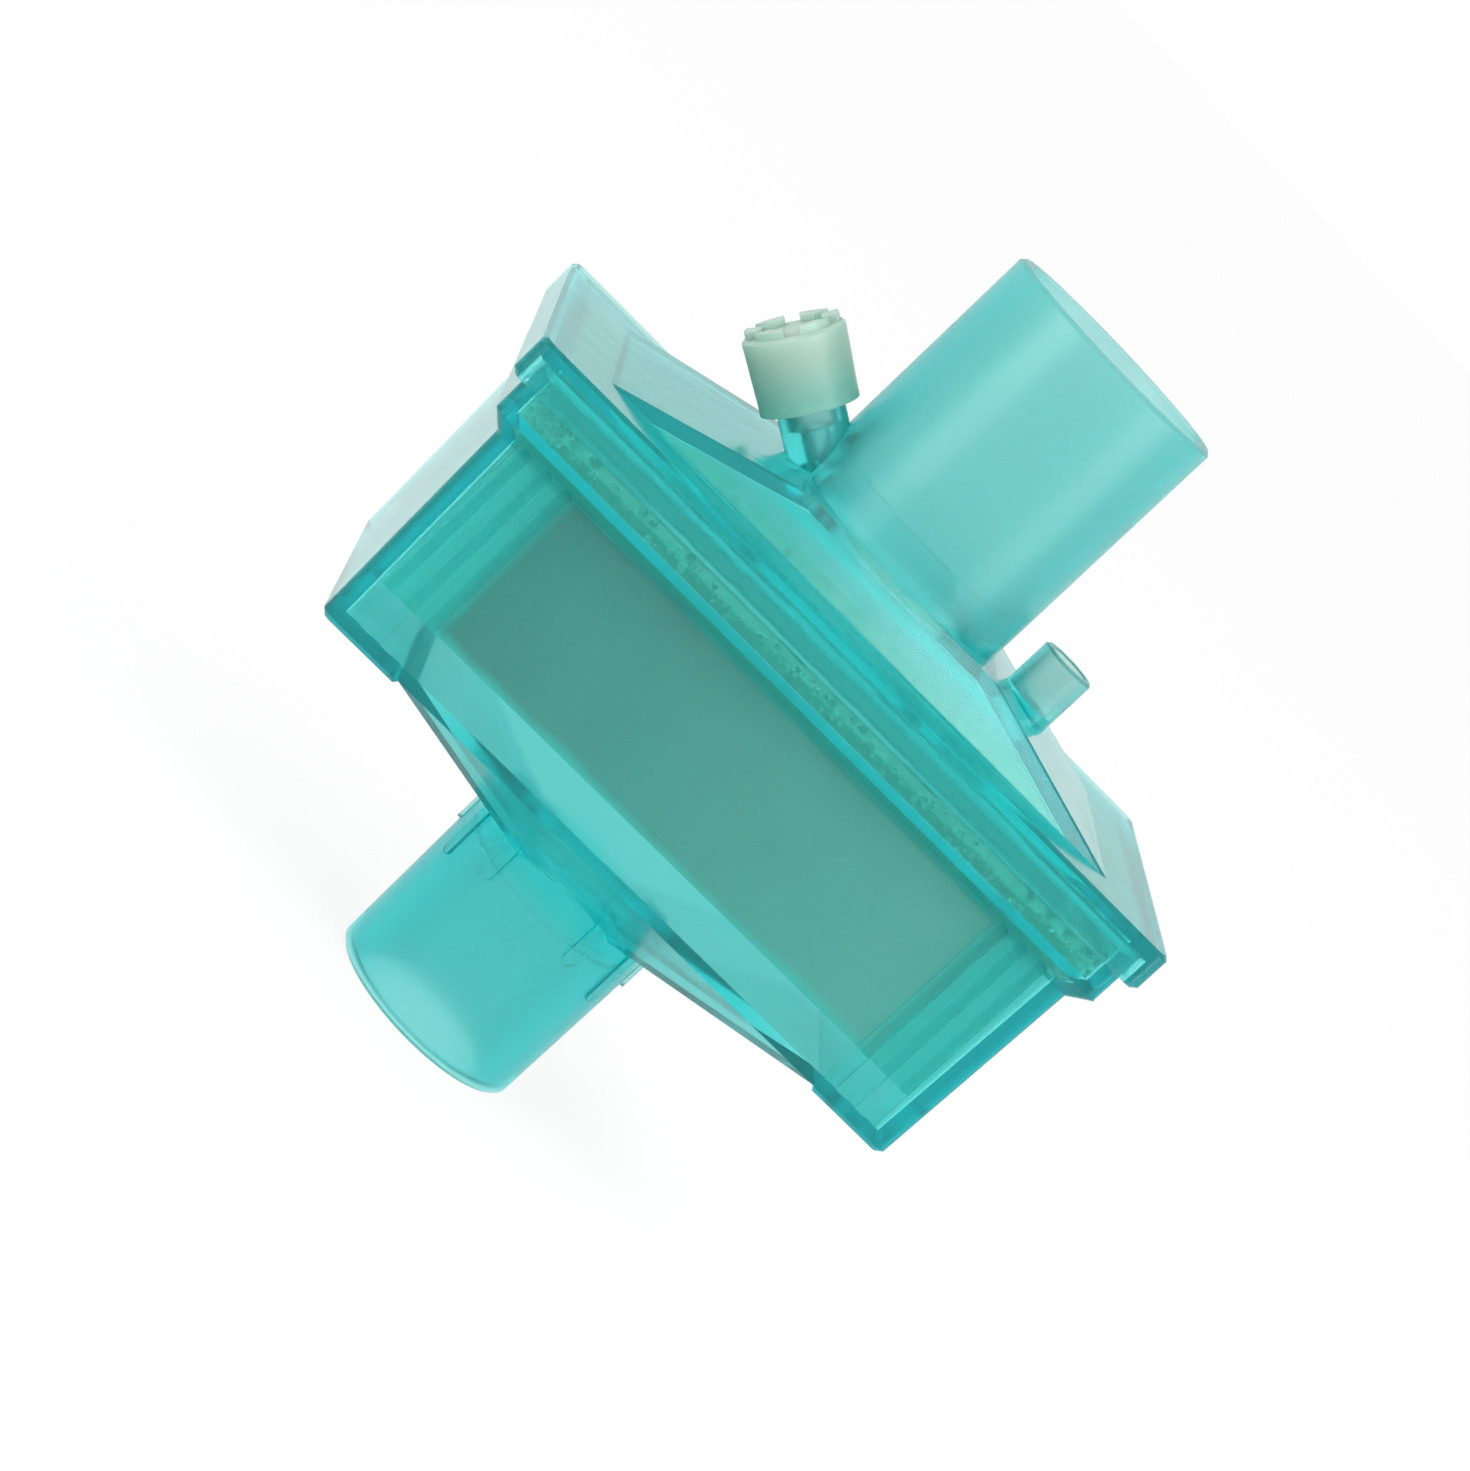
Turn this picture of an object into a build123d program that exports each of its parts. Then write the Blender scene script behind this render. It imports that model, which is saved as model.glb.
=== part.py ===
from build123d import *
import os
from math import cos, radians, sin

# Breathing circuit filter: two glued housing halves, a pleated filter pack and a luer cap.
# Millimetres, +Z up the two ports, origin at the centre of the lower port's rim.

os.makedirs("parts", exist_ok=True)

# Conical breathing connectors
TAPER = 1 / 40
SOCKET_22 = 22.37
SOCKET_15 = 15.47
RIM_EDGE = 0.4
MOUTH_BEVEL = 0.3

# Lower port: 22 mm cone outside, 15 mm conical socket inside
FLOOR_Z = 26.3
CONE_22_GAUGE = 15.0
LOWER_DEPTH = 17.0
LOWER_SHOULDER = 0.32

# Stop ribs round the root of the lower port
STOP_RIBS = 12
STOP_TURN = -8.0
STOP_PROUD = 0.35
STOP_LONG = 6.1
STOP_SHORT = 4.1
STOP_LONG_W = 1.35
STOP_SHORT_W = 1.6

# Lower housing box
BOX_X = 74.0
BOX_Y = 40.5
BOX_RISE = 23.4
BOX_DRAFT = 0.5
BOX_CORNER = 1.3
BOX_BOTTOM_EDGE = 0.5
WALL = 1.7
FLOOR = 1.5
STEP = 1.7
STEP_RISE = 1.8

# Front and back panels and the hopper below them
PANEL_END = 9.9
PANEL_DEPTH = 0.45
PANEL_OVER = 0.3
HOPPER_LIFT = 0.45
HOPPER_FOOT_X = 11.4
HOPPER_FOOT_Y = 18.8
HOPPER_DROP = 6.1
HOPPER_WALL = 1.5

# Locating ribs on the inner faces of the front and back walls
RIB_OFFSET = 1.3
RIB_PITCH = 2.58
RIB_COUNT = 3
RIB_W = 1.15
RIB_PROUD = 0.45
RIB_OVER = 1.15

# Glued joint between the halves
JOINT_GAP = 0.35
BEVEL_DROP = 1.2
TONGUE_TIP = 0.35
GLUE_LINE = 0.06

# Lid
FLANGE_SHOWN = 3.5
SKIRT_WALL = 1.2
SKIRT_DROP = 4.4
SKIRT_LIP = 0.45
LID_CORNER = 1.6
LID_EDGE = 0.4
ROOF = 1.6

# Upper port: 22 mm conical socket
UPPER_TALL = 33.2
UPPER_WALL = 1.565
UPPER_DEPTH = 24.0
UPPER_SHOULDER = 0.5

# Sloping roof of the lid, from its foot to the square round the upper port
HIP_END = 7.75
HIP_SIDE = 8.0
HIP_RISE = 5.2
HIP_TUCK = 0.15
HIP_WALL = 1.5
HIP_NARROW = 2.4

# Pleated pack
PACK_END_GAP = 0.4
PACK_SIDE_GAP = 0.1
PACK_LIFT = 4.2
PACK_OVER = 1.4
PLEATS = 20
PAPER = 0.42

# Sealing bead
BEAD_GAP = 0.05
BEAD_CLEAR = 0.1
BEAD_OVER = 1.7
BEAD_EDGE = 0.2
BEAD_LIP = 0.4

# Luer port on the left of the upper port
LUER_LEAN = 31.8
LUER_OUT = 3.85
LUER_RISE = 9.35
LUER_R = 3.3
LUER_LUG = 1.3
LUER_LUG_PROUD = 0.6
LUER_LUG_WIDTH = 2.6
LUER_REACH = 5.6
LUER_ROOT = 7.5
LUER_MOUTH = 4.315
LUER_TAPER = 0.06
LUER_DEPTH = 7.6
LUER_DRILL_R = 1.1

# Luer cap
CAP_CLEAR = 0.35
CAP_WALL = 0.53
CAP_SPREAD = 0.22
CAP_SEAT = 0.15
CAP_END = 1.65
CAP_RIM = 0.8
CAP_CROWN = 0.75
CAP_CROWN_INSET = 0.45
CAP_CROWN_WALL = 1.6
CAP_NOTCHES = 6
CAP_NOTCH_W = 1.5
CAP_PLUG = 5.2
CAP_PLUG_FIT = 0.05
CAP_EDGE = 0.3

# Cap parking post on the right slope
POST_OUT = 5.75
POST_TALL = 9.7
POST_WALL = 0.85
POST_DEPTH = 5.2
POST_EDGE = 0.25

# Heights that follow from the ones above
HOPPER_FOOT_Z = FLOOR_Z - HOPPER_DROP
HOPPER_Z = FLOOR_Z + HOPPER_LIFT
CAVITY_Z = FLOOR_Z + FLOOR
WALL_TOP_Z = FLOOR_Z + BOX_RISE
PANEL_TOP = WALL_TOP_Z + PANEL_OVER
LEDGE_Z = WALL_TOP_Z + STEP_RISE / 2
LEDGE_TOP = LEDGE_Z + STEP
FLANGE_Z = WALL_TOP_Z + STEP_RISE
RIB_TOP = WALL_TOP_Z + RIB_OVER
PACK_BOTTOM = CAVITY_Z + PACK_LIFT
PACK_TOP = FLANGE_Z + PACK_OVER
BEAD_LOW = RIB_TOP + BEAD_CLEAR
BEAD_HIGH = PACK_TOP + BEAD_OVER
SKIRT_Z = FLANGE_Z + FLANGE_SHOWN
LID_TOP = SKIRT_Z + SKIRT_DROP
LID_UNDER = LID_TOP - ROOF
HIP_TOP_Z = LID_TOP + HIP_RISE
UPPER_RIM = LID_TOP + UPPER_TALL
POST_TOP = LID_TOP + POST_TALL

# Widths that follow from the ones above
PANEL_X = BOX_X - 2 * PANEL_END
PANEL_Y = BOX_Y - 2 * PANEL_DEPTH
CAVITY_X = BOX_X - 2 * WALL
CAVITY_Y = BOX_Y - 2 * WALL
FLANGE_X = BOX_X + 2 * STEP
FLANGE_Y = BOX_Y + 2 * STEP
FLANGE_IN_X = FLANGE_X - 2 * WALL
FLANGE_IN_Y = FLANGE_Y - 2 * WALL
SKIRT_IN_X = FLANGE_X + 2 * JOINT_GAP
SKIRT_IN_Y = FLANGE_Y + 2 * JOINT_GAP
LID_X = SKIRT_IN_X + 2 * SKIRT_WALL
LID_Y = SKIRT_IN_Y + 2 * SKIRT_WALL
HIP_X = LID_X - 2 * HIP_END
HIP_Y = LID_Y - 2 * HIP_SIDE
RIB_FACE_Y = CAVITY_Y / 2 - BOX_DRAFT - RIB_PROUD
PACK_X = CAVITY_X - 2 * (BOX_DRAFT + PACK_END_GAP)
PACK_Y = 2 * (RIB_FACE_Y - PACK_SIDE_GAP)
UPPER_R = SOCKET_22 / 2 + UPPER_WALL
UPPER_BORE_R = (SOCKET_22 - UPPER_DEPTH * TAPER) / 2 - UPPER_SHOULDER
LOWER_BORE_R = (SOCKET_15 - LOWER_DEPTH * TAPER) / 2 - LOWER_SHOULDER
HIP_TOP = 2 * (UPPER_R - HIP_TUCK)
LUER_LUG_R = LUER_R + LUER_LUG_PROUD
CAP_BORE_R = LUER_LUG_R + CAP_CLEAR
CAP_R_OPEN = CAP_BORE_R + CAP_WALL
CAP_R_END = CAP_R_OPEN + CAP_SPREAD
CAP_CROWN_R = CAP_R_END - CAP_CROWN_INSET
CAP_SHELF = LUER_REACH + CAP_SEAT
CAP_LENGTH = CAP_SHELF + CAP_END
POST_R = LUER_MOUTH / 2 + POST_WALL

LUER_PLANE = Plane(
    origin=(-UPPER_R - LUER_OUT, 0, LID_TOP + LUER_RISE),
    x_dir=(0, 1, 0),
    z_dir=(-cos(radians(LUER_LEAN)), 0, sin(radians(LUER_LEAN))),
)


def slab(x, y, z0, z1, corner):
    """Upright block with rounded corners between two heights."""
    return Pos(0, 0, z0) * extrude(RectangleRounded(x, y, corner), z1 - z0)


def hopper(x0, y0, z0, x1, y1, z1, corner):
    """Flat-sided funnel between two level rectangles, with rounded corner edges."""
    signs = (-1, -1), (1, -1), (1, 1), (-1, 1)
    first = [Vector(sx * x0 / 2, sy * y0 / 2, z0) for sx, sy in signs]
    second = [Vector(sx * x1 / 2, sy * y1 / 2, z1) for sx, sy in signs]
    rings = [first, second]
    for i in range(len(signs)):
        rings.append([first[i - 1], first[i], second[i], second[i - 1]])
    body = Solid(Shell([Face(Wire.make_polygon(ring)) for ring in rings]))
    level = body.edges().filter_by(Plane.XY)
    return fillet([edge for edge in body.edges() if edge not in level], corner)


def turned(points):
    """Solid turned about Z from a closed radius and height profile."""
    face = make_face(Polyline([(r, 0, z) for r, z in points], close=True))
    return revolve(face, Axis.Z)


def taper_r(mouth_d, depth, rate):
    """Radius of a conical bore at a depth below its mouth."""
    return (mouth_d - depth * rate) / 2


# Upper housing
def lid_plate():
    plate = slab(LID_X, LID_Y, SKIRT_Z, LID_TOP, LID_CORNER)
    plate = chamfer(plate.edges().group_by(Axis.Z)[-1], LID_EDGE)
    plate = chamfer(plate.edges().group_by(Axis.Z)[0], SKIRT_LIP)
    plate -= slab(SKIRT_IN_X, SKIRT_IN_Y, SKIRT_Z - SKIRT_WALL, LID_UNDER, LID_CORNER - LID_EDGE)
    return plate


def joint_tongue():
    reach = 2 * TONGUE_TIP
    wedge = hopper(
        SKIRT_IN_X, SKIRT_IN_Y, LID_UNDER,
        FLANGE_IN_X + reach, FLANGE_IN_Y + reach, LID_UNDER - BEVEL_DROP, LID_CORNER / 2,
    )
    return wedge - slab(FLANGE_IN_X, FLANGE_IN_Y, SKIRT_Z, LID_TOP, LID_CORNER / 2)


def hip_outside():
    return hopper(HIP_X, HIP_Y, LID_TOP, HIP_TOP, HIP_TOP, HIP_TOP_Z, LID_EDGE)


def hip_inside():
    top = HIP_TOP - HIP_NARROW
    return hopper(
        HIP_X - HIP_NARROW, HIP_Y - HIP_NARROW, LID_UNDER,
        top, top, HIP_TOP_Z - HIP_WALL, LID_EDGE,
    )


def upper_tube():
    tube = Pos(0, 0, LID_TOP) * Cylinder(
        UPPER_R, UPPER_TALL, align=(Align.CENTER, Align.CENTER, Align.MIN)
    )
    return chamfer(tube.edges().group_by(Axis.Z)[-1], RIM_EDGE)


def upper_bore():
    mouth = SOCKET_22 / 2
    step_z = UPPER_RIM - UPPER_DEPTH
    return turned([
        (0, LID_UNDER - ROOF), (UPPER_BORE_R, LID_UNDER - ROOF), (UPPER_BORE_R, step_z),
        (taper_r(SOCKET_22, UPPER_DEPTH, TAPER), step_z),
        (taper_r(SOCKET_22, MOUTH_BEVEL, TAPER), UPPER_RIM - MOUTH_BEVEL),
        (mouth + MOUTH_BEVEL, UPPER_RIM), (0, UPPER_RIM),
    ])


def luer_lugs():
    ring = Pos(0, 0, LUER_REACH - LUER_LUG) * Cylinder(
        LUER_LUG_R, LUER_LUG, align=(Align.CENTER, Align.CENTER, Align.MIN)
    )
    ring = chamfer(ring.edges().group_by(Axis.Z)[0], (LUER_LUG_R - LUER_R) / 2)
    bar = Pos(0, 0, LUER_REACH) * Box(2 * LUER_LUG_R, LUER_LUG_WIDTH, 2 * LUER_LUG)
    return ring & bar


def luer_boss():
    boss = Pos(0, 0, -LUER_ROOT) * Cylinder(
        LUER_R, LUER_ROOT + LUER_REACH, align=(Align.CENTER, Align.CENTER, Align.MIN)
    )
    return LUER_PLANE * (boss + luer_lugs())


def luer_bore():
    bottom = LUER_REACH - LUER_DEPTH
    return LUER_PLANE * turned([
        (0, -2 * LUER_ROOT), (LUER_DRILL_R, -2 * LUER_ROOT), (LUER_DRILL_R, bottom),
        (taper_r(LUER_MOUTH, LUER_DEPTH, LUER_TAPER), bottom),
        (LUER_MOUTH / 2, LUER_REACH), (0, LUER_REACH),
    ])


def inner_keep():
    """Everything that must stay open inside the lid."""
    gullet = Pos(0, 0, LID_UNDER) * Cylinder(
        UPPER_BORE_R, UPPER_RIM - LID_UNDER, align=(Align.CENTER, Align.CENTER, Align.MIN)
    )
    return hip_inside() + gullet


def parking_post():
    post = Pos(0, 0, LID_TOP) * Cylinder(
        POST_R, POST_TALL, align=(Align.CENTER, Align.CENTER, Align.MIN)
    )
    post = chamfer(post.edges().group_by(Axis.Z)[-1], POST_EDGE)
    cup = Pos(0, 0, POST_TOP) * Cylinder(
        LUER_MOUTH / 2, POST_DEPTH, align=(Align.CENTER, Align.CENTER, Align.MAX)
    )
    return Pos(UPPER_R + POST_OUT, 0, 0) * (post - cup) - inner_keep()


def upper_housing():
    shell = lid_plate() + hip_outside() + upper_tube() + joint_tongue()
    shell -= hip_inside()
    boss = luer_boss() - inner_keep()
    shell = shell + boss + parking_post()
    shell -= upper_bore()
    return shell - luer_bore()


# Lower housing
def box_outside():
    low_x, low_y = BOX_X - 2 * BOX_DRAFT, BOX_Y - 2 * BOX_DRAFT
    body = hopper(BOX_X, BOX_Y, WALL_TOP_Z, low_x, low_y, FLOOR_Z, BOX_CORNER)
    body = chamfer(body.edges().group_by(Axis.Z)[0], BOX_BOTTOM_EDGE)
    step = hopper(FLANGE_X, FLANGE_Y, FLANGE_Z, BOX_X, BOX_Y, WALL_TOP_Z, BOX_CORNER)
    return body + step + slab(FLANGE_X, FLANGE_Y, FLANGE_Z, LID_UNDER - GLUE_LINE, BOX_CORNER)


def box_inside():
    low_x, low_y = CAVITY_X - 2 * BOX_DRAFT, CAVITY_Y - 2 * BOX_DRAFT
    room = hopper(CAVITY_X, CAVITY_Y, LEDGE_Z, low_x, low_y, CAVITY_Z, BOX_CORNER / 2)
    ledge = hopper(
        FLANGE_IN_X, FLANGE_IN_Y, LEDGE_TOP, CAVITY_X, CAVITY_Y, LEDGE_Z, BOX_CORNER / 2,
    )
    return room + ledge + slab(FLANGE_IN_X, FLANGE_IN_Y, LEDGE_TOP, LID_TOP, BOX_CORNER / 2)


def flange_bevel():
    """Room for the lid's tongue along the inner edge of the flange."""
    reach = 2 * (TONGUE_TIP + GLUE_LINE)
    return hopper(
        SKIRT_IN_X, SKIRT_IN_Y, LID_UNDER - GLUE_LINE,
        FLANGE_IN_X + reach, FLANGE_IN_Y + reach, LID_UNDER - BEVEL_DROP - GLUE_LINE,
        BOX_CORNER / 2,
    )


def panel_recess():
    """Shallow drafted recess across the middle of the front and back walls."""
    height = PANEL_TOP - FLOOR_Z + FLOOR
    across = Box(PANEL_X, 2 * BOX_Y, height, align=(Align.CENTER, Align.CENTER, Align.MAX))
    core = hopper(
        2 * PANEL_X, PANEL_Y, WALL_TOP_Z, 2 * PANEL_X, PANEL_Y - 2 * BOX_DRAFT, FLOOR_Z, BOX_CORNER,
    )
    core += slab(2 * PANEL_X, PANEL_Y, WALL_TOP_Z, PANEL_TOP, BOX_CORNER)
    return Pos(0, 0, PANEL_TOP) * across - core


def foot_recess():
    """Shallow lift of the floor between the two end flats, with sloping ends."""
    return hopper(
        PANEL_X, 2 * BOX_Y, HOPPER_Z,
        PANEL_X + 2 * HOPPER_LIFT, 2 * BOX_Y, FLOOR_Z - HOPPER_LIFT, HOPPER_LIFT,
    )


def funnel_outside():
    low = BOX_DRAFT * 2
    return hopper(
        PANEL_X, PANEL_Y - low, HOPPER_Z,
        HOPPER_FOOT_X, HOPPER_FOOT_Y, HOPPER_FOOT_Z, LID_EDGE,
    )


def funnel_inside():
    thin = 2 * HOPPER_WALL
    return hopper(
        PANEL_X - thin, CAVITY_Y - 2 * BOX_DRAFT, CAVITY_Z,
        HOPPER_FOOT_X, HOPPER_FOOT_Y - thin, HOPPER_FOOT_Z + HOPPER_WALL, LID_EDGE,
    )


def cone_22_r(z):
    """Outer radius of the lower port at a height above its rim."""
    return (SOCKET_22 + (z - CONE_22_GAUGE) * TAPER) / 2


def lower_tube():
    top = FLOOR_Z
    tube = turned([(0, 0), (cone_22_r(0), 0), (cone_22_r(top), top), (0, top)])
    return chamfer(tube.edges().group_by(Axis.Z)[0], RIM_EDGE)


def lower_bore():
    mouth = SOCKET_15 / 2
    return turned([
        (0, 0), (mouth + MOUTH_BEVEL, 0),
        (taper_r(SOCKET_15, MOUTH_BEVEL, TAPER), MOUTH_BEVEL),
        (taper_r(SOCKET_15, LOWER_DEPTH, TAPER), LOWER_DEPTH), (LOWER_BORE_R, LOWER_DEPTH),
        (LOWER_BORE_R, CAVITY_Z), (0, CAVITY_Z),
    ])


def stop_rib(length, width, angle):
    end_z = HOPPER_FOOT_Z - length
    r_out = cone_22_r(end_z) + STOP_PROUD
    bar = Pos(r_out / 2, 0, end_z) * Box(
        r_out, width, HOPPER_Z - end_z, align=(Align.CENTER, Align.CENTER, Align.MIN)
    )
    foot = bar.edges().filter_by(Axis.X).group_by(Axis.Z)[0]
    return Rot(0, 0, angle) * chamfer(foot, width / 3)


def stop_ribs():
    ribs = []
    for i in range(STOP_RIBS):
        angle = STOP_TURN - 90 + i * 360 / STOP_RIBS
        if i % 2:
            ribs.append(stop_rib(STOP_SHORT, STOP_SHORT_W, angle))
        else:
            ribs.append(stop_rib(STOP_LONG, STOP_LONG_W, angle))
    return ribs


def locating_ribs():
    """Upright ribs at both ends of the front and back walls."""
    foot_z = CAVITY_Z - FLOOR / 2
    rib = Box(
        RIB_W, (BOX_Y - WALL) / 2 - RIB_FACE_Y, RIB_TOP - foot_z,
        align=(Align.CENTER, Align.MIN, Align.MIN),
    )
    rib = Pos(0, RIB_FACE_Y, foot_z) * chamfer(
        rib.edges().filter_by(Axis.Y).group_by(Axis.Z)[-1], RIB_W / 3
    )
    ribs = []
    for turn in (0, 180):
        for end in (-1, 1):
            for i in range(RIB_COUNT):
                x = end * (PANEL_X / 2 + RIB_OFFSET + i * RIB_PITCH)
                ribs.append(Rot(0, 0, turn) * (Pos(x, 0, 0) * rib))
    return ribs


def lower_housing():
    shell = box_outside() - panel_recess() - foot_recess()
    shell += funnel_outside()
    shell += lower_tube()
    for rib in stop_ribs():
        shell += rib
    shell -= box_inside()
    shell -= funnel_inside()
    for rib in locating_ribs():
        shell += rib
    shell -= flange_bevel()
    return shell - lower_bore()


# Pleated pack
def filter_media():
    """One sheet of paper folded up and down across the box."""
    panels = 2 * PLEATS
    step = (PACK_Y - PAPER) / (panels - 1)
    left, right = [], []
    for i in range(panels):
        y = i * step - PACK_Y / 2
        if i % 2:
            end = PACK_BOTTOM if i == panels - 1 else PACK_BOTTOM + PAPER
            left += [(y + PAPER, PACK_TOP), (y + PAPER, end)]
            right += [(y, PACK_TOP - PAPER), (y, PACK_BOTTOM)]
        else:
            start = PACK_BOTTOM if i == 0 else PACK_BOTTOM + PAPER
            left += [(y, start), (y, PACK_TOP)]
            right += [(y + PAPER, PACK_BOTTOM), (y + PAPER, PACK_TOP - PAPER)]
    outline = left + right[::-1]
    face = make_face(Polyline([(0, y, z) for y, z in outline], close=True))
    return extrude(face, PACK_X / 2, both=True)


# Sealing bead
def sealing_bead():
    """Cured adhesive between the top of the pack and the flange."""
    gap = 2 * BEAD_GAP
    wide_x, wide_y = FLANGE_IN_X - gap, FLANGE_IN_Y - gap
    in_x, in_y = PACK_X + gap, PACK_Y + gap
    narrow = 2 * (LEDGE_TOP - BEAD_LOW)
    bead = hopper(
        wide_x, wide_y, LEDGE_TOP, wide_x - narrow, wide_y - narrow, BEAD_LOW, BOX_CORNER / 2,
    )
    bead += slab(wide_x, wide_y, LEDGE_TOP, BEAD_HIGH, BOX_CORNER / 2)
    bead -= slab(in_x, in_y, FLOOR_Z, LID_TOP, BEAD_GAP)
    lip = 2 * BEAD_LIP
    return bead - hopper(
        wide_x - lip, wide_y - lip, BEAD_HIGH, in_x, in_y, PACK_TOP + BEAD_EDGE, BEAD_GAP,
    )


# Luer cap
def cap_plug():
    tip = LUER_REACH - CAP_PLUG
    root_r = taper_r(LUER_MOUTH, LUER_REACH - CAP_SHELF, LUER_TAPER) - CAP_PLUG_FIT
    tip_r = taper_r(LUER_MOUTH, CAP_PLUG, LUER_TAPER) - CAP_PLUG_FIT
    top = CAP_SHELF + CAP_PLUG_FIT
    return turned([(0, tip), (tip_r, tip), (root_r, CAP_SHELF), (root_r, top), (0, top)])


def cap_crown():
    """Low scalloped ring on the closed end for the fingertips."""
    base = Align.CENTER, Align.CENTER, Align.MIN
    ring = Cylinder(CAP_CROWN_R, CAP_CROWN, align=base)
    ring -= Cylinder(CAP_CROWN_R - CAP_CROWN_WALL, CAP_CROWN, align=base)
    notch = Box(2 * CAP_CROWN_R, CAP_NOTCH_W, 2 * CAP_CROWN)
    for i in range(CAP_NOTCHES // 2):
        ring -= Rot(0, 0, i * 360 / CAP_NOTCHES) * notch
    return Pos(0, 0, CAP_LENGTH) * ring


def luer_cap():
    body = turned([
        (0, 0), (CAP_R_OPEN, 0), (CAP_R_OPEN, CAP_RIM), (CAP_R_END, CAP_LENGTH), (0, CAP_LENGTH),
    ])
    body = chamfer(body.edges().group_by(Axis.Z)[-1], CAP_EDGE)
    body -= Cylinder(CAP_BORE_R, CAP_SHELF, align=(Align.CENTER, Align.CENTER, Align.MIN))
    return LUER_PLANE * (body + cap_plug() + cap_crown())


NODES = {
    "lower_housing": lower_housing,
    "upper_housing": upper_housing,
    "filter_media": filter_media,
    "sealing_bead": sealing_bead,
    "luer_cap": luer_cap,
}

for name, make in NODES.items():
    export_step(make(), f"parts/{name}.step")
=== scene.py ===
import bpy
from math import radians
from mathutils import Matrix, Vector


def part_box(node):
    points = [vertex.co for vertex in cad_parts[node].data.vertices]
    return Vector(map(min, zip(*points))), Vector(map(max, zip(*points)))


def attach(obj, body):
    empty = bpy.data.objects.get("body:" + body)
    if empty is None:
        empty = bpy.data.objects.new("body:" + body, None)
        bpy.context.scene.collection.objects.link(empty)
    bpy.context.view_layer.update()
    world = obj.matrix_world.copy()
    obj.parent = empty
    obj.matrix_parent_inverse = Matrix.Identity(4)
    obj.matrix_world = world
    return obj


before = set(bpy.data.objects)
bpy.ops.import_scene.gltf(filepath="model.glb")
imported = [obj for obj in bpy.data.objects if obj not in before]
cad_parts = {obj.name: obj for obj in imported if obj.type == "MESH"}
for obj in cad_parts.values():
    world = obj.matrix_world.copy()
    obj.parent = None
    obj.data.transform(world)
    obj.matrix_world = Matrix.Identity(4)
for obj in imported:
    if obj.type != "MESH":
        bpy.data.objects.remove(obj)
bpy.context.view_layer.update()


# Camera: a long lens a little above the lid, a few degrees to the left of the front, rolled so that
# the filter lies across the frame from lower left to upper right.
aim = Vector((0.00135, 0.0, 0.04125))
lens_at = Vector((-0.06555, -0.38137, 0.11800))
ROLL = 46.65
camera = bpy.data.cameras.new("photo_camera")
camera.sensor_width = 36.0
camera.lens = 100.8
camera_object = bpy.data.objects.new("photo_camera", camera)
bpy.context.collection.objects.link(camera_object)
level = (aim - lens_at).to_track_quat("-Z", "Y").to_matrix().to_4x4()
camera_object.matrix_world = Matrix.Translation(lens_at) @ level @ Matrix.Rotation(radians(ROLL), 4, "Z")
bpy.context.scene.camera = camera_object
bpy.context.scene.view_settings.view_transform = "Standard"


# Studio: a white sweep with white light all round, a soft box low on each side, which give the
# tubes their pale highlights, and one high up in front on the right, which the lid's roof mirrors.
def linear(hex_colour):
    """An sRGB hex colour as linear RGBA."""
    parts = [int(hex_colour[i:i + 2], 16) / 255 for i in (0, 2, 4)]
    return [p / 12.92 if p <= 0.04045 else ((p + 0.055) / 1.055) ** 2.4 for p in parts] + [1.0]


def put(tree, kind, links=None, **settings):
    """Add a node to a tree, with its settings, socket values and links."""
    made = tree.nodes.new(kind)
    for name, value in settings.items():
        setattr(made, name, value)
    for name, value in (links or {}).items():
        socket = made.inputs[name]
        if isinstance(value, bpy.types.NodeSocket):
            tree.links.new(value, socket)
        else:
            socket.default_value = value
    return made


def seen_directly(tree):
    """1 for rays that see a surface from the camera, in a mirror or through clear plastic."""
    path = put(tree, "ShaderNodeLightPath").outputs
    seen = put(tree, "ShaderNodeMath", {
        0: path["Is Camera Ray"], 1: path["Is Glossy Ray"],
    }, operation="MAXIMUM")
    return put(tree, "ShaderNodeMath", {
        0: seen.outputs[0], 1: path["Is Transmission Ray"],
    }, operation="MAXIMUM").outputs[0]


world = bpy.data.worlds.new("studio")
bpy.context.scene.world = world
world.use_nodes = True
air_tree = world.node_tree
air_tree.nodes.clear()
sky = put(air_tree, "ShaderNodeBackground", {"Color": linear("F6F8F8"), "Strength": 1.0})
white = put(air_tree, "ShaderNodeBackground", {"Color": linear("FFFFFF"), "Strength": 1.0})
sky_mix = put(air_tree, "ShaderNodeMixShader", {
    0: seen_directly(air_tree), 1: sky.outputs[0], 2: white.outputs[0],
})
put(air_tree, "ShaderNodeOutputWorld", {"Surface": sky_mix.outputs[0]})


def empty_material(name):
    """New material with an empty node tree."""
    made = bpy.data.materials.new(name)
    made.use_nodes = True
    made.node_tree.nodes.clear()
    return made, made.node_tree


# The card glows a little where it is seen, so it stays white and still keeps the filter's shadow.
FLOOR_HALF = 14.0
CARD_GLOW = 0.85
floor_mesh = bpy.data.meshes.new("floor")
floor_mesh.from_pydata(
    [(x, y, 0.0) for x, y in ((-1, -1), (1, -1), (1, 1), (-1, 1))], [], [(0, 1, 2, 3)]
)
floor_mesh.transform(Matrix.Scale(FLOOR_HALF, 4))
floor = bpy.data.objects.new("floor", floor_mesh)
bpy.context.collection.objects.link(floor)
floor_paint, tree = empty_material("matt_white_card")
card = put(tree, "ShaderNodeBsdfDiffuse", {"Color": linear("F4F4F2")})
card_white = put(tree, "ShaderNodeEmission", {"Color": linear("FFFFFF"), "Strength": 1.0})
card_seen = put(tree, "ShaderNodeMath", {0: seen_directly(tree), 1: CARD_GLOW}, operation="MULTIPLY")
card_mix = put(tree, "ShaderNodeMixShader", {
    0: card_seen.outputs[0], 1: card.outputs[0], 2: card_white.outputs[0],
})
put(tree, "ShaderNodeOutputMaterial", {"Surface": card_mix.outputs[0]})
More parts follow.
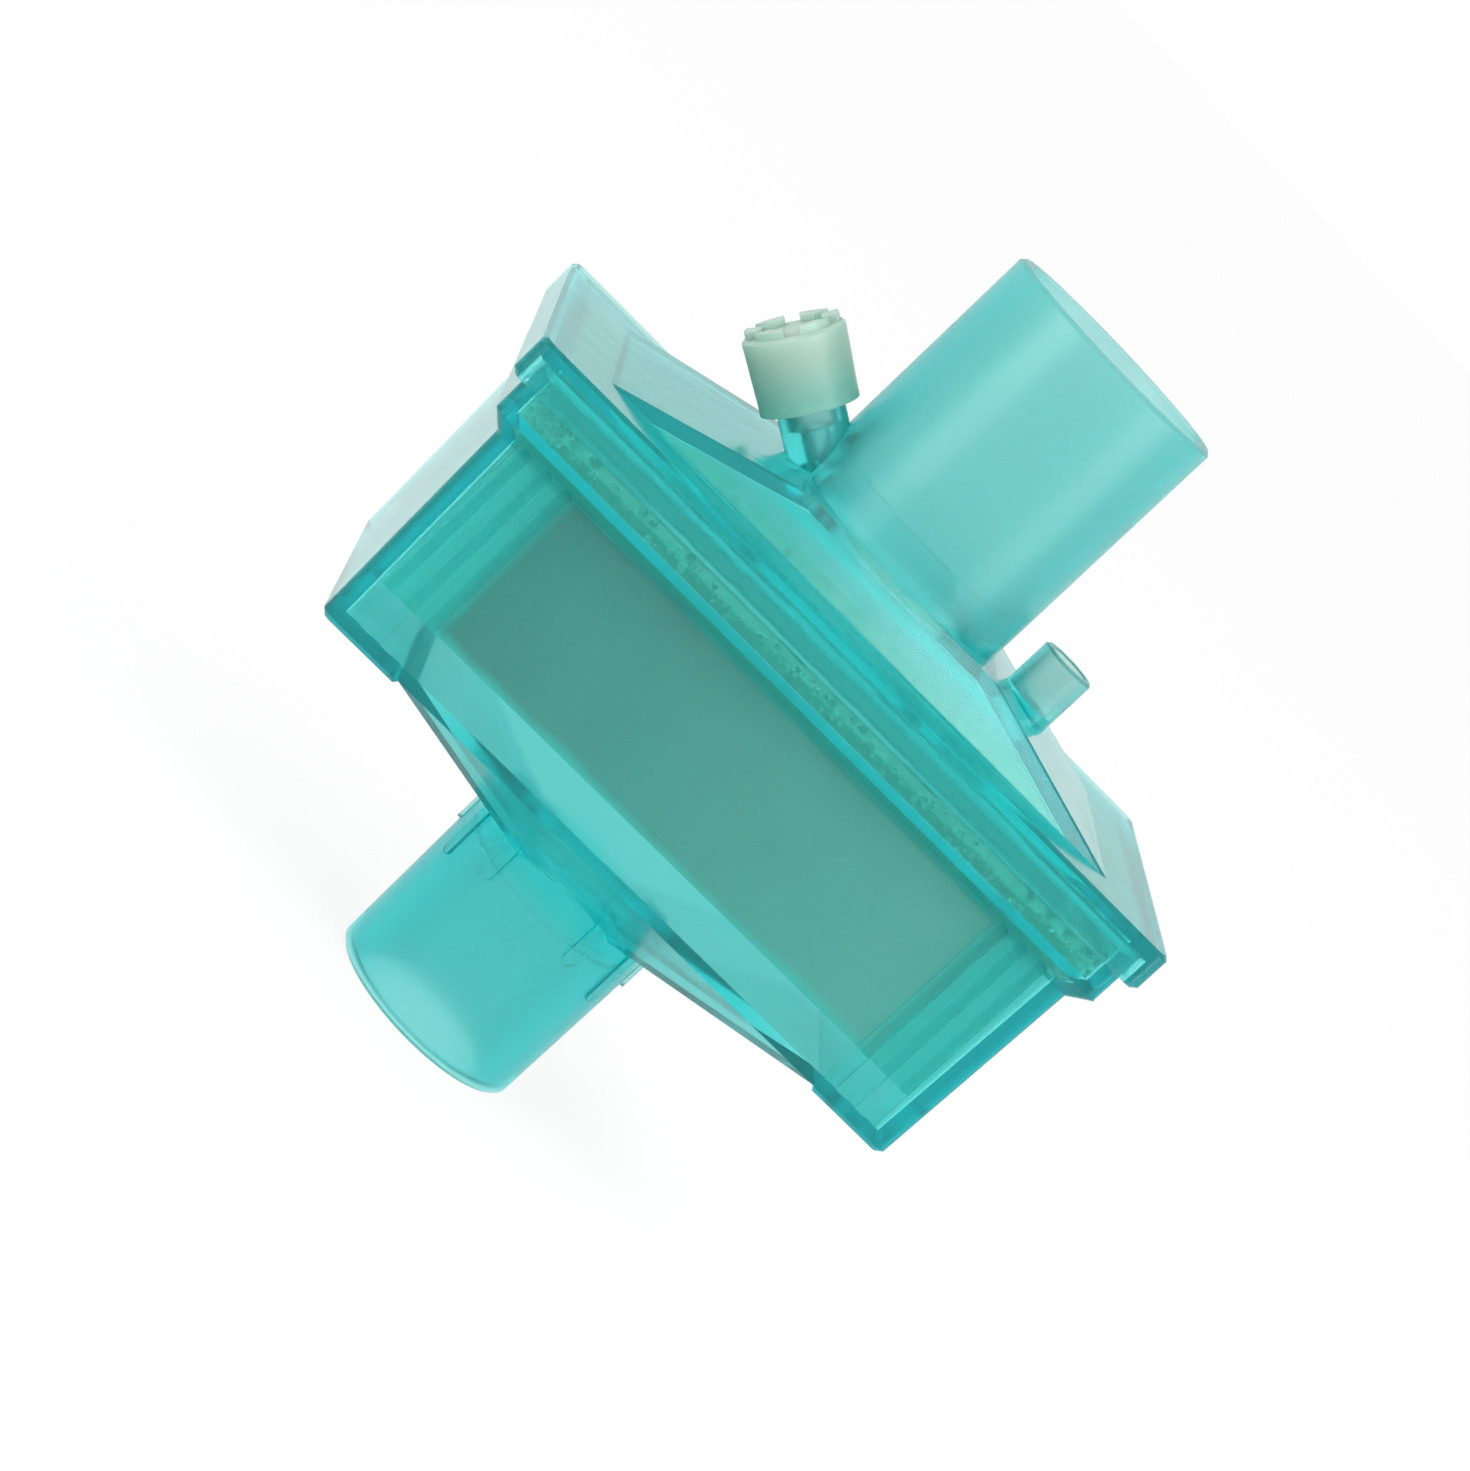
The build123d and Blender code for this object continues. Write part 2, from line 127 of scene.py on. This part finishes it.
floor_mesh.materials.append(floor_paint)


def soft_box(name, place, width, height, watts):
    """Rectangular lamp turned towards the filter."""
    lamp = bpy.data.lights.new(name, "AREA")
    lamp.shape = "RECTANGLE"
    lamp.size, lamp.size_y, lamp.energy = width, height, watts
    held = bpy.data.objects.new(name, lamp)
    facing = (aim - Vector(place)).to_track_quat("-Z", "Y").to_matrix().to_4x4()
    held.matrix_world = Matrix.Translation(place) @ facing
    bpy.context.collection.objects.link(held)


soft_box("left_soft_box", (-0.33, -0.21, 0.13), width=0.22, height=0.26, watts=1.0)
soft_box("right_soft_box", (0.30, -0.20, 0.10), width=0.20, height=0.24, watts=0.6)
soft_box("top_soft_box", (0.31, -0.59, 0.74), width=0.30, height=0.40, watts=3.4)


# Housing halves: the lid with the wide port, and the box with the slim port. Both are injection
# moulded from styrene-butadiene tinted teal and glued at the flange. The resin is clear with a
# slight haze, so thin walls look pale, and thick edges and end-on walls glow a deep teal.
def cloudy(tree, place, scale, detail, low, high):
    """Cloudy value between low and high, its scale counted per metre."""
    cloud = put(tree, "ShaderNodeTexNoise", {"Vector": place, "Scale": scale, "Detail": detail})
    return put(tree, "ShaderNodeMapRange", {
        "Value": cloud.outputs["Fac"], "To Min": low, "To Max": high,
    }).outputs[0]


def relief(tree, place, scale, detail, strength, depth):
    """Surface normal from a cloudy height, its scale counted per metre and its depth in metres."""
    height = put(tree, "ShaderNodeTexNoise", {"Vector": place, "Scale": scale, "Detail": detail})
    return put(tree, "ShaderNodeBump", {
        "Height": height.outputs["Fac"], "Strength": strength, "Distance": depth,
    }).outputs[0]


def at_either(tree, value, first, second):
    """1 past the end of either of two (start, end) ranges, 0 before their starts, smooth between."""
    reached = [put(tree, "ShaderNodeMapRange", {
        "Value": value, "From Min": start, "From Max": end,
    }, interpolation_type="SMOOTHSTEP").outputs[0] for start, end in (first, second)]
    return put(tree, "ShaderNodeMath", dict(enumerate(reached)), operation="MAXIMUM").outputs[0]


def dress(node, material):
    """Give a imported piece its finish."""
    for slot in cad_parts[node].material_slots:
        slot.material = material


tinted, tree = empty_material("tinted_styrene_butadiene_moulded")
place = put(tree, "ShaderNodeTexCoord").outputs["Object"]
# The mould is left unpolished on the two ports, so they come out paler and more satin than the box.
WIDE_PORT_FOOT = (0.0635, 0.0665)
SLIM_PORT_HEAD = (0.021, 0.017)
PORT_SATIN = 0.16
height = put(tree, "ShaderNodeSeparateXYZ", {"Vector": place}).outputs["Z"]
port = at_either(tree, height, WIDE_PORT_FOOT, SLIM_PORT_HEAD)
satin = put(tree, "ShaderNodeMath", {
    0: port, 1: PORT_SATIN, 2: cloudy(tree, place, scale=60.0, detail=3.0, low=0.1, high=0.16),
}, operation="MULTIPLY_ADD")
clear_colour = put(tree, "ShaderNodeMix", {
    0: port, 6: linear("F4F6F3"), 7: linear("F6EEEB"),
}, data_type="RGBA")
cloud_colour = put(tree, "ShaderNodeMix", {
    0: port, 6: linear("30C8C6"), 7: linear("A2D0CC"),
}, data_type="RGBA")
# The resin's own index is 1.57. It is set lower, so that thin walls look as calm as they are.
tint_clear = put(tree, "ShaderNodeBsdfPrincipled", {
    "Base Color": clear_colour.outputs[2], "Roughness": satin.outputs[0],
    "IOR": 1.34, "Specular IOR Level": 0.35, "Transmission Weight": 1.0,
    "Normal": relief(tree, place, scale=110.0, detail=2.0, strength=0.12, depth=0.0006),
})
tint_glow = put(tree, "ShaderNodeBsdfTranslucent", {"Color": linear("30E2E2")})
tint_cloud = put(tree, "ShaderNodeBsdfDiffuse", {"Color": cloud_colour.outputs[2]})
tint_haze = put(tree, "ShaderNodeMixShader", {
    0: 0.5, 1: tint_glow.outputs[0], 2: tint_cloud.outputs[0],
})
tint_skin = put(tree, "ShaderNodeMixShader", {
    0: cloudy(tree, place, scale=60.0, detail=3.0, low=0.1, high=0.18),
    1: tint_clear.outputs[0], 2: tint_haze.outputs[0],
})
tint_depth = put(tree, "ShaderNodeVolumeAbsorption", {"Color": linear("00FBFC"), "Density": 390.0})
put(tree, "ShaderNodeOutputMaterial", {
    "Surface": tint_skin.outputs[0], "Volume": tint_depth.outputs[0],
})
dress("lower_housing", tinted)
dress("upper_housing", tinted)


# Filter pack: one sheet of resin-bonded glass-fibre paper, pleated up and down across the box.
# It is matt off-white with a faint felted grain. Its ends and rims are soaked with the sealing
# adhesive, so there it is paler and takes on the colour of the walls.
# Painted light: over this span the sheet's colour is painted lighter from its left end to its right end,
# by this share.
PAINTED_LIGHT_SPAN = 0.030
PAINTED_LIGHT_GAIN = 0.75
SOAK_WANDER = 0.002
SOAK_LEFT = (-0.0255, -0.0283)
SOAK_RIGHT = (0.0296, 0.0304)
SOAK_FADES_AT, SOAK_FULL_AT = 0.0022, 0.0006
paper, tree = empty_material("glass_fibre_paper_felted")
place = put(tree, "ShaderNodeTexCoord").outputs["Object"]
cloud = put(tree, "ShaderNodeTexNoise", {"Vector": place, "Scale": 90.0, "Detail": 2.0})
wander = put(tree, "ShaderNodeVectorMath", {
    0: cloud.outputs["Color"], "Scale": SOAK_WANDER,
}, operation="SCALE")
shifted = put(tree, "ShaderNodeVectorMath", {0: place, 1: wander.outputs[0]}, operation="ADD")
across, _, upward = put(tree, "ShaderNodeSeparateXYZ", {"Vector": shifted.outputs[0]}).outputs
# Painted light: the sheet's colour is darker at its left end and lighter towards the right, as if lit
# from the right, and its felt is cloudy all over.
painted_light_from_right = put(tree, "ShaderNodeMapRange", {
    "Value": across, "From Min": -PAINTED_LIGHT_SPAN, "From Max": PAINTED_LIGHT_SPAN,
    "To Min": 0.0, "To Max": PAINTED_LIGHT_GAIN,
})
felt_and_painted_light_tone = put(tree, "ShaderNodeMath", {
    0: painted_light_from_right.outputs[0], 1: cloudy(tree, place, scale=90.0, detail=2.0, low=0.0, high=0.25),
}, operation="ADD")
# Felt colour with painted light: darker brown at the left end and paler to the right, with a cloudy
# grain all over.
felt_and_painted_light_colour = put(tree, "ShaderNodeMix", {
    0: felt_and_painted_light_tone.outputs[0], 6: linear("867A6E"), 7: linear("CEC1B4"),
}, data_type="RGBA")
# The adhesive wicks far in at the left end, and stops short and sharp at the right end.
pack_low, pack_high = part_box("filter_media")
soak = put(tree, "ShaderNodeMath", {
    0: at_either(tree, across, SOAK_LEFT, SOAK_RIGHT),
    1: at_either(
        tree, upward, (pack_low[2] + SOAK_FADES_AT, pack_low[2] + SOAK_FULL_AT),
        (pack_high[2] - SOAK_FADES_AT, pack_high[2] - SOAK_FULL_AT),
    ),
}, operation="MAXIMUM")
paper_colour = put(tree, "ShaderNodeMix", {
    0: soak.outputs[0], 6: felt_and_painted_light_colour.outputs[2], 7: linear("93CFC5"),
}, data_type="RGBA")
# The real fibres are far finer. The grain is drawn about a millimetre wide, so that it shows.
paper_skin = put(tree, "ShaderNodeBsdfPrincipled", {
    "Base Color": paper_colour.outputs[2], "IOR": 1.45,
    "Roughness": cloudy(tree, place, scale=90.0, detail=2.0, low=0.85, high=0.95),
    "Normal": relief(tree, place, scale=900.0, detail=4.0, strength=0.3, depth=0.0002),
})
put(tree, "ShaderNodeOutputMaterial", {"Surface": paper_skin.outputs[0]})
dress("filter_media", paper)


# Sealing bead: clear two-part urethane adhesive, poured round the top of the pack and cured there.
# It ties the pack to the flange and closes the gap round it, and it sets with air in it.
adhesive, tree = empty_material("cured_urethane_adhesive")
place = put(tree, "ShaderNodeTexCoord").outputs["Object"]
glue_skin = put(tree, "ShaderNodeBsdfPrincipled", {
    "Base Color": linear("C8FCE9"), "IOR": 1.5, "Transmission Weight": 0.85,
    "Roughness": cloudy(tree, place, scale=90.0, detail=2.0, low=0.1, high=0.18),
    "Normal": relief(tree, place, scale=420.0, detail=3.0, strength=0.05, depth=0.0003),
})
put(tree, "ShaderNodeOutputMaterial", {"Surface": glue_skin.outputs[0]})
dress("sealing_bead", adhesive)

bead_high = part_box("sealing_bead")[1]


def loop_inside(name, inset, drop):
    """Closed four-sided path inside the bead's outline and below its top."""
    loop = bpy.data.meshes.new(name)
    x, y, z = bead_high[0] - inset, bead_high[1] - inset, bead_high[2] - drop
    loop.from_pydata(
        [(-x, -y, z), (x, -y, z), (x, y, z), (-x, y, z)], [(0, 1), (1, 2), (2, 3), (3, 0)], [],
    )
    return loop


def growth_tree(name, **inputs):
    """Geometry Nodes tree with a path in, a shape out and named inputs."""
    tree = bpy.data.node_groups.new(name, "GeometryNodeTree")
    tree.interface.new_socket("Path", in_out="INPUT", socket_type="NodeSocketGeometry")
    for label, kind in inputs.items():
        tree.interface.new_socket(label, in_out="INPUT", socket_type="NodeSocket" + kind)
    tree.interface.new_socket("Shape", in_out="OUTPUT", socket_type="NodeSocketGeometry")
    given = put(tree, "NodeGroupInput").outputs
    return tree, given, put(tree, "GeometryNodeMeshToCurve", {"Mesh": given["Path"]}).outputs[0]


def finish_growth(tree, shape, material):
    """Make a tree's shape real, smooth and dressed, and give it out."""
    solid = put(tree, "GeometryNodeRealizeInstances", {"Geometry": shape})
    smooth = put(tree, "GeometryNodeSetShadeSmooth", {"Geometry": solid.outputs[0]})
    dressed = put(tree, "GeometryNodeSetMaterial", {"Geometry": smooth.outputs[0], "Material": material})
    put(tree, "NodeGroupOutput", {"Shape": dressed.outputs[0]})


def grown(name, path, tree, material, **values):
    """Run a node tree along a path, and keep what it makes as a plain piece on the housing."""
    holder = bpy.data.objects.new(name + "_path", path)
    bpy.context.collection.objects.link(holder)
    growth = holder.modifiers.new("growth", "NODES")
    growth.node_group = tree
    for item in tree.interface.items_tree:
        if item.in_out == "INPUT" and item.name in values:
            growth[item.identifier] = values[item.name]
    ready = holder.evaluated_get(bpy.context.evaluated_depsgraph_get())
    piece = bpy.data.objects.new(name, bpy.data.meshes.new_from_object(ready))
    holder.modifiers.remove(growth)
    bpy.data.objects.remove(holder)
    bpy.context.collection.objects.link(piece)
    piece.data.materials.clear()
    piece.data.materials.append(material)
    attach(piece, "housing")


# Air bubbles: left in the adhesive as it was poured, most of them small and a few large. They are
# hollows in the bead, so each is a smooth ball that shines, with the index of air in adhesive.
MOSTLY_SMALL = 3.0
air, tree = empty_material("trapped_air")
place = put(tree, "ShaderNodeTexCoord").outputs["Object"]
air_skin = put(tree, "ShaderNodeBsdfPrincipled", {
    "Base Color": linear("FFFFFF"), "IOR": 0.68, "Transmission Weight": 0.3,
    "Roughness": cloudy(tree, place, scale=300.0, detail=1.0, low=0.03, high=0.08),
    "Normal": relief(tree, place, scale=2500.0, detail=1.0, strength=0.1, depth=0.00005),
})
put(tree, "ShaderNodeOutputMaterial", {"Surface": air_skin.outputs[0]})

tree, given, line = growth_tree(
    "scatter_bubbles", Count="Int", Smallest="Float", Largest="Float", Spread="Vector", Seed="Int",
)
spots = put(tree, "GeometryNodeCurveToPoints", {"Curve": line, "Count": given["Count"]}, mode="COUNT")
back = put(tree, "ShaderNodeVectorMath", {0: given["Spread"], "Scale": -1.0}, operation="SCALE")
drift = put(tree, "FunctionNodeRandomValue", {
    0: back.outputs[0], 1: given["Spread"], "Seed": given["Seed"],
}, data_type="FLOAT_VECTOR")
strewn = put(tree, "GeometryNodeSetPosition", {"Geometry": spots.outputs[0], "Offset": drift.outputs[0]})
chance = put(tree, "FunctionNodeRandomValue", {2: 0.0, 3: 1.0, "Seed": given["Seed"]}, data_type="FLOAT")
few_large = put(tree, "ShaderNodeMath", {0: chance.outputs[1], 1: MOSTLY_SMALL}, operation="POWER")
radius = put(tree, "ShaderNodeMapRange", {
    "Value": few_large.outputs[0], "To Min": given["Smallest"], "To Max": given["Largest"],
})
ball = put(tree, "GeometryNodeMeshUVSphere", {"Radius": 1.0, "Segments": 8, "Rings": 5})
balls = put(tree, "GeometryNodeInstanceOnPoints", {
    "Points": strewn.outputs[0], "Instance": ball.outputs[0], "Scale": radius.outputs[0],
})
finish_growth(tree, balls.outputs[0], air)
grown(
    "adhesive_bubbles", loop_inside("bubble_line", inset=0.00073, drop=0.0014), tree, air,
    Count=600, Smallest=0.0001, Largest=0.00052, Spread=(0.0002, 0.0002, 0.00085), Seed=11,
)
# Where the pour began, at the front left corner, the adhesive is frothy.
FROTH_LENGTH = 0.0035
FROTH_INSET = Vector((0.0012, 0.00075, 0.0012))
froth_line = bpy.data.meshes.new("froth_line")
left, front, top = Vector(bead_high) - FROTH_INSET
froth_line.from_pydata([(-left, -front, top), (FROTH_LENGTH - left, -front, top)], [(0, 1)], [])
grown(
    "adhesive_froth", froth_line, tree, air,
    Count=90, Smallest=0.00018, Largest=0.00042, Spread=(0.0006, 0.0003, 0.0009), Seed=3,
)


# Creep line: the same adhesive drawn a little way up the flange wall before it set, uneven in
# height and thickness all the way round. Its foot is in the bead, of which it is a part.
tree, given, line = growth_tree("uneven_run", Thickness="Float", Rise="Float", Step="Float")
line = put(tree, "GeometryNodeResampleCurve", {
    "Curve": line, "Length": given["Step"],
}, mode="LENGTH").outputs[0]
where = put(tree, "GeometryNodeInputPosition").outputs[0]
USUAL_LOW, USUAL_HIGH = 0.35, 0.65
wave = put(tree, "ShaderNodeTexNoise", {"Vector": where, "Scale": 230.0, "Detail": 3.0})
lift = put(tree, "ShaderNodeMapRange", {
    "Value": wave.outputs["Fac"], "From Min": USUAL_LOW, "From Max": USUAL_HIGH,
    "To Min": 0.0, "To Max": given["Rise"],
})
up = put(tree, "ShaderNodeCombineXYZ", {"Z": lift.outputs[0]})
line = put(tree, "GeometryNodeSetPosition", {"Geometry": line, "Offset": up.outputs[0]}).outputs[0]
girth = put(tree, "ShaderNodeMath", {
    0: cloudy(tree, where, scale=520.0, detail=2.0, low=0.5, high=1.0), 1: given["Thickness"],
}, operation="MULTIPLY")
ring = put(tree, "GeometryNodeCurvePrimitiveCircle", {"Resolution": 10, "Radius": 1.0}, mode="RADIUS")
run = put(tree, "GeometryNodeCurveToMesh", {
    "Curve": line, "Profile Curve": ring.outputs[0], "Scale": girth.outputs[0],
})
finish_growth(tree, run.outputs[0], adhesive)
grown(
    "adhesive_creep", loop_inside("creep_line", inset=0.00045, drop=0.0), tree, adhesive,
    Thickness=0.0004, Rise=0.0007, Step=0.0005,
)


# Luer cap: a milky unpigmented polypropylene moulding, screwed over the two lugs of the sampling
# port. Light goes into it and spreads, so the teal port inside shows as a soft green glow; that glow is
# also painted into the cap's colour near its rim.
milky, tree = empty_material("natural_polypropylene_moulded")
place = put(tree, "ShaderNodeTexCoord").outputs["Object"]
# The port fills the lower half of the cap, so its glow is painted into the colour: teal-green at the
# cap's rim, paler milk further up.
LUER_AXIS = Vector((-0.8499, 0.0, 0.5270))
PAINTED_GLOW_REACH = 0.0065
rim = min(LUER_AXIS.dot(corner.co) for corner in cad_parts["luer_cap"].data.vertices)
outward = put(tree, "ShaderNodeVectorMath", {
    0: place, 1: LUER_AXIS,
}, operation="DOT_PRODUCT").outputs["Value"]
painted_glow_fade = put(tree, "ShaderNodeMapRange", {
    "Value": outward, "From Min": rim, "From Max": rim + PAINTED_GLOW_REACH,
}, interpolation_type="SMOOTHSTEP")
milk_and_painted_glow_colour = put(tree, "ShaderNodeMix", {
    0: painted_glow_fade.outputs[0], 6: linear("86C9B8"), 7: linear("B2CFC1"),
}, data_type="RGBA")
milk_skin = put(tree, "ShaderNodeBsdfPrincipled", {
    "Base Color": milk_and_painted_glow_colour.outputs[2],
    "IOR": 1.49, "Transmission Weight": 0.45,
    "Roughness": cloudy(tree, place, scale=120.0, detail=2.0, low=0.32, high=0.44),
    "Normal": relief(tree, place, scale=500.0, detail=2.0, strength=0.1, depth=0.0002),
    "Subsurface Weight": 0.6, "Subsurface Radius": (0.002, 0.0024, 0.0022), "Subsurface Scale": 1.0,
})
put(tree, "ShaderNodeOutputMaterial", {"Surface": milk_skin.outputs[0]})
dress("luer_cap", milky)
